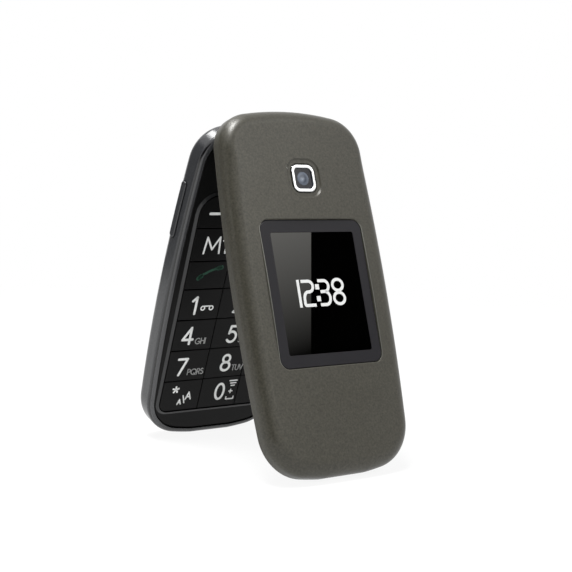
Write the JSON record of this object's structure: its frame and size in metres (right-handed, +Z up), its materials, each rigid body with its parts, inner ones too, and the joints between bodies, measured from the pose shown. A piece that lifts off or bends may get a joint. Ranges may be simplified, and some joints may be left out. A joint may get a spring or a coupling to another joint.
{
  "type": "flip phone",
  "caption": "Slim flip phone that folds on a hinge across its top edge, with a camera and a small display window on the lid and a large-key keypad on the base.",
  "frame": {"origin": "middle of the footprint, on the surface that the two free ends stand on", "axes": "+Z up, -Y towards the lid's outer face, X along the hinge line with the volume key at -X"},
  "size_m": [0.0532, 0.0796, 0.1025],
  "materials": {
    "lid_paint": "matte metallic paint, taupe grey",
    "dark_shell": "satin charcoal",
    "bezel": "satin near black",
    "frame_dark": "satin dark grey",
    "key_black": "semi-gloss near black",
    "glass_dark": "glossy black window",
    "chrome": "polished",
    "lens": "polished dark",
    "display": "dark display",
    "board_green": "circuit board",
    "steel": "bright",
    "rubber": "matte",
    "silicone": "matte grey",
    "film": "clear film with metal domes",
    "battery_wrap": "satin",
    "brass": "gold plated",
    "parts_plastic": "moulded"
  },
  "bodies": {
    "base": {"front_housing": "bezel", "rear_housing": "dark_shell", "volume_switch": "parts_plastic", "keypad_mat": "silicone", "dome_sheet": "film", "main_board": "board_green", "shield_can": "steel", "loudspeaker": "parts_plastic", "vibration_motor": "steel", "battery": "battery_wrap", "battery_contacts": "brass", "card_holder": "steel", "antenna": "parts_plastic", "microphone": "steel", "base_screws": "steel", "charge_socket": "steel", "hinge_can": "steel", "hinge_spring": "steel", "hinge_pin": "steel"},
    "lid": {"lid_outer_cover": "lid_paint", "lid_inner_cover": "bezel", "window_frame": "frame_dark", "outer_window": "glass_dark", "inner_window": "glass_dark", "camera_ring": "chrome", "camera_lens": "lens", "camera_module": "parts_plastic", "main_display": "display", "lid_board": "board_green", "outer_display": "display", "earpiece_mesh": "steel", "earpiece": "parts_plastic", "lid_magnet": "steel", "lid_bumpers": "rubber", "lid_screws": "steel", "hinge_cam": "steel"},
    "battery_cover": {"battery_cover": "dark_shell"},
    "volume_key": {"volume_key": "dark_shell"},
    "call_key": {"call_key": "key_black"},
    "clear_key": {"clear_key": "key_black"},
    "end_key": {"end_key": "key_black"},
    "hash_key": {"hash_key": "key_black"},
    "key_0": {"key_0": "key_black"},
    "key_1": {"key_1": "key_black"},
    "key_2": {"key_2": "key_black"},
    "key_3": {"key_3": "key_black"},
    "key_4": {"key_4": "key_black"},
    "key_5": {"key_5": "key_black"},
    "key_6": {"key_6": "key_black"},
    "key_7": {"key_7": "key_black"},
    "key_8": {"key_8": "key_black"},
    "key_9": {"key_9": "key_black"},
    "memory_key_1": {"memory_key_1": "key_black"},
    "memory_key_2": {"memory_key_2": "key_black"},
    "nav_key": {"nav_key": "key_black"},
    "softkey_left": {"softkey_left": "key_black"},
    "softkey_right": {"softkey_right": "key_black"},
    "star_key": {"star_key": "key_black"}
  },
  "joints": [
    {"name": "lid_hinge", "type": "hinge", "parent": "base", "child": "lid", "pos_m": [0, -0.00056, 0.09868], "axis": [-1, 0, 0], "range_deg": [-37.2, 117.8]},
    {"name": "cover_release", "type": "slide", "parent": "base", "child": "battery_cover", "axis": [0, 0.9478, 0.319], "range_m": [0, 0.012]},
    {"name": "volume_rock", "type": "hinge", "parent": "base", "child": "volume_key", "pos_m": [-0.0256, 0.01314, 0.07301], "axis": [0, -0.9478, -0.319], "range_deg": [-1, 1], "stiffness_Nm_per_rad": 0.2},
    {"name": "call_key_press", "type": "slide", "parent": "base", "child": "call_key", "axis": [0, 0.9478, 0.319], "range_m": [0, 0.0004], "stiffness_N_per_m": 1000},
    {"name": "clear_key_press", "type": "slide", "parent": "base", "child": "clear_key", "axis": [0, 0.9478, 0.319], "range_m": [0, 0.0004], "stiffness_N_per_m": 1000},
    {"name": "end_key_press", "type": "slide", "parent": "base", "child": "end_key", "axis": [0, 0.9478, 0.319], "range_m": [0, 0.0004], "stiffness_N_per_m": 1000},
    {"name": "hash_key_press", "type": "slide", "parent": "base", "child": "hash_key", "axis": [0, 0.9478, 0.319], "range_m": [0, 0.0004], "stiffness_N_per_m": 1000},
    {"name": "key_0_press", "type": "slide", "parent": "base", "child": "key_0", "axis": [0, 0.9478, 0.319], "range_m": [0, 0.0004], "stiffness_N_per_m": 1000},
    {"name": "key_1_press", "type": "slide", "parent": "base", "child": "key_1", "axis": [0, 0.9478, 0.319], "range_m": [0, 0.0004], "stiffness_N_per_m": 1000},
    {"name": "key_2_press", "type": "slide", "parent": "base", "child": "key_2", "axis": [0, 0.9478, 0.319], "range_m": [0, 0.0004], "stiffness_N_per_m": 1000},
    {"name": "key_3_press", "type": "slide", "parent": "base", "child": "key_3", "axis": [0, 0.9478, 0.319], "range_m": [0, 0.0004], "stiffness_N_per_m": 1000},
    {"name": "key_4_press", "type": "slide", "parent": "base", "child": "key_4", "axis": [0, 0.9478, 0.319], "range_m": [0, 0.0004], "stiffness_N_per_m": 1000},
    {"name": "key_5_press", "type": "slide", "parent": "base", "child": "key_5", "axis": [0, 0.9478, 0.319], "range_m": [0, 0.0004], "stiffness_N_per_m": 1000},
    {"name": "key_6_press", "type": "slide", "parent": "base", "child": "key_6", "axis": [0, 0.9478, 0.319], "range_m": [0, 0.0004], "stiffness_N_per_m": 1000},
    {"name": "key_7_press", "type": "slide", "parent": "base", "child": "key_7", "axis": [0, 0.9478, 0.319], "range_m": [0, 0.0004], "stiffness_N_per_m": 1000},
    {"name": "key_8_press", "type": "slide", "parent": "base", "child": "key_8", "axis": [0, 0.9478, 0.319], "range_m": [0, 0.0004], "stiffness_N_per_m": 1000},
    {"name": "key_9_press", "type": "slide", "parent": "base", "child": "key_9", "axis": [0, 0.9478, 0.319], "range_m": [0, 0.0004], "stiffness_N_per_m": 1000},
    {"name": "memory_key_1_press", "type": "slide", "parent": "base", "child": "memory_key_1", "axis": [0, 0.9478, 0.319], "range_m": [0, 0.0004], "stiffness_N_per_m": 1000},
    {"name": "memory_key_2_press", "type": "slide", "parent": "base", "child": "memory_key_2", "axis": [0, 0.9478, 0.319], "range_m": [0, 0.0004], "stiffness_N_per_m": 1000},
    {"name": "nav_key_press", "type": "slide", "parent": "base", "child": "nav_key", "axis": [0, 0.9478, 0.319], "range_m": [0, 0.0004], "stiffness_N_per_m": 1000},
    {"name": "softkey_left_press", "type": "slide", "parent": "base", "child": "softkey_left", "axis": [0, 0.9478, 0.319], "range_m": [0, 0.0004], "stiffness_N_per_m": 1000},
    {"name": "softkey_right_press", "type": "slide", "parent": "base", "child": "softkey_right", "axis": [0, 0.9478, 0.319], "range_m": [0, 0.0004], "stiffness_N_per_m": 1000},
    {"name": "star_key_press", "type": "slide", "parent": "base", "child": "star_key", "axis": [0, 0.9478, 0.319], "range_m": [0, 0.0004], "stiffness_N_per_m": 1000}
  ]
}
